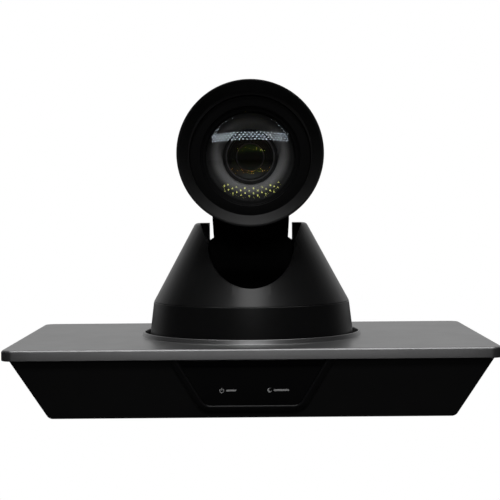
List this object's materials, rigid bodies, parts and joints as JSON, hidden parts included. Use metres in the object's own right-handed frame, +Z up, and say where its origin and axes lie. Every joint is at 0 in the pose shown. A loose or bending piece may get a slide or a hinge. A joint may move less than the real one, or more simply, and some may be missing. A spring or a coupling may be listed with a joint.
{
  "type": "ptz camera",
  "caption": "Pan, tilt and zoom conference camera with a round head between two arms of a conical yoke on a wide flat base.",
  "frame": {"origin": "middle of the base, on the surface that the rubber feet stand on", "axes": "+Z up along the pan axis, -Y is where the lens looks at rest, +X along the base's width to the camera's left side as seen from behind"},
  "size_m": [0.24, 0.152, 0.1641],
  "materials": {
    "black_moulding": "fine spark-eroded moulded black",
    "dark_moulding": "plain matte black moulding",
    "grey_metal_paint": "grey metallic satin coat on pressed aluminium",
    "satin_black": "satin black frame",
    "gloss_black": "polished infrared-clear black acrylic",
    "circuit_board": "solder-masked circuit board",
    "clear_resin": "clear light emitter",
    "ir_resin": "dark infrared resin",
    "painted_panel": "black coated steel",
    "socket_plastic": "moulded socket body",
    "socket_green": "green socket body",
    "socket_shell": "tin-plated shell",
    "chip_resin": "moulded chip package",
    "screw_steel": "zinc-plated steel",
    "black_screw": "black oxide steel",
    "cast_alloy": "die-cast aluminium alloy",
    "plated_steel": "zinc-plated sheet steel",
    "bearing_steel": "ground bearing steel",
    "spring_steel": "phosphated spring steel",
    "motor_can": "drawn motor can",
    "brass": "turned brass",
    "bronze": "sintered bronze",
    "rubber": "black rubber",
    "acetal": "natural acetal",
    "window_glass": "coated protective glass",
    "coated_glass": "multi-coated lens glass",
    "lens_grey": "grey anodised funnel",
    "lens_black": "black anodised lens body"
  },
  "bodies": {
    "base": {"base_tray": "black_moulding", "top_plate": "grey_metal_paint", "window_bezel": "satin_black", "front_window": "gloss_black", "indicator_board": "circuit_board", "indicator_leds": "clear_resin", "ir_receivers": "ir_resin", "rear_panel": "painted_panel", "power_socket": "socket_plastic", "hdmi_socket": "socket_shell", "usb_socket": "socket_shell", "network_socket": "socket_shell", "serial_sockets": "socket_plastic", "audio_socket": "socket_green", "main_board": "circuit_board", "board_chips": "chip_resin", "board_screws": "screw_steel", "pan_frame": "cast_alloy", "pan_bearing_outer": "bearing_steel", "pan_bearing_balls": "bearing_steel", "pan_motor": "motor_can", "tripod_bush": "brass", "rubber_feet": "rubber", "base_screws": "black_screw", "panel_screws": "black_screw", "frame_screws": "screw_steel"},
    "yoke": {"turntable": "cast_alloy", "pan_gear": "acetal", "pan_bearing_inner": "bearing_steel", "pan_retainer": "spring_steel", "skirt_ring": "black_moulding", "yoke_shell": "black_moulding", "left_cheek": "dark_moulding", "right_cheek": "dark_moulding", "yoke_frame": "plated_steel", "tilt_bushes": "bronze", "tilt_motor": "motor_can", "yoke_screws": "screw_steel"},
    "pan_drive": {"pan_pinion": "brass"},
    "tilt_drive": {"tilt_pinion": "brass"},
    "head": {"neck_front": "dark_moulding", "neck_rear": "dark_moulding", "tilt_shafts": "bearing_steel", "tilt_gear": "acetal", "barrel_shell": "black_moulding", "rear_shell": "black_moulding", "hood": "black_moulding", "retaining_ring": "dark_moulding", "ring_screws": "screw_steel", "window_glass": "window_glass", "lens_cone": "lens_grey", "lens_barrel": "lens_black", "front_element": "coated_glass", "guide_rods": "bearing_steel", "sensor_board": "circuit_board"},
    "zoom_group": {"zoom_cell": "lens_black", "zoom_lens": "coated_glass"},
    "focus_group": {"focus_cell": "lens_black", "focus_lens": "coated_glass"}
  },
  "joints": [
    {"name": "pan", "type": "hinge", "parent": "base", "child": "yoke", "pos_m": [0, 0, 0.0171], "axis": [0, 0, 1], "range_deg": [-170, 170]},
    {"name": "tilt", "type": "hinge", "parent": "yoke", "child": "head", "pos_m": [0, 0, 0.0696], "axis": [-1, 0, 0], "range_deg": [-30, 30]},
    {"name": "pan_motor_spin", "type": "hinge", "parent": "base", "child": "pan_drive", "pos_m": [-0.053, 0, 0.0251], "axis": [0, 0, 1], "range_deg": [-960, 960]},
    {"name": "tilt_motor_spin", "type": "hinge", "parent": "yoke", "child": "tilt_drive", "pos_m": [0.026, 0, 0.0496], "axis": [-1, 0, 0], "range_deg": [-80, 80]},
    {"name": "zoom", "type": "slide", "parent": "head", "child": "zoom_group", "axis": [0, 1, 0], "range_m": [0, 0.014]},
    {"name": "focus", "type": "slide", "parent": "head", "child": "focus_group", "axis": [0, 1, 0], "range_m": [0, 0.005]}
  ],
  "couplings": [
    {"joint": "pan_motor_spin", "follows": "pan", "ratio": -5.625},
    {"joint": "tilt_motor_spin", "follows": "tilt", "ratio": -2.5714}
  ]
}
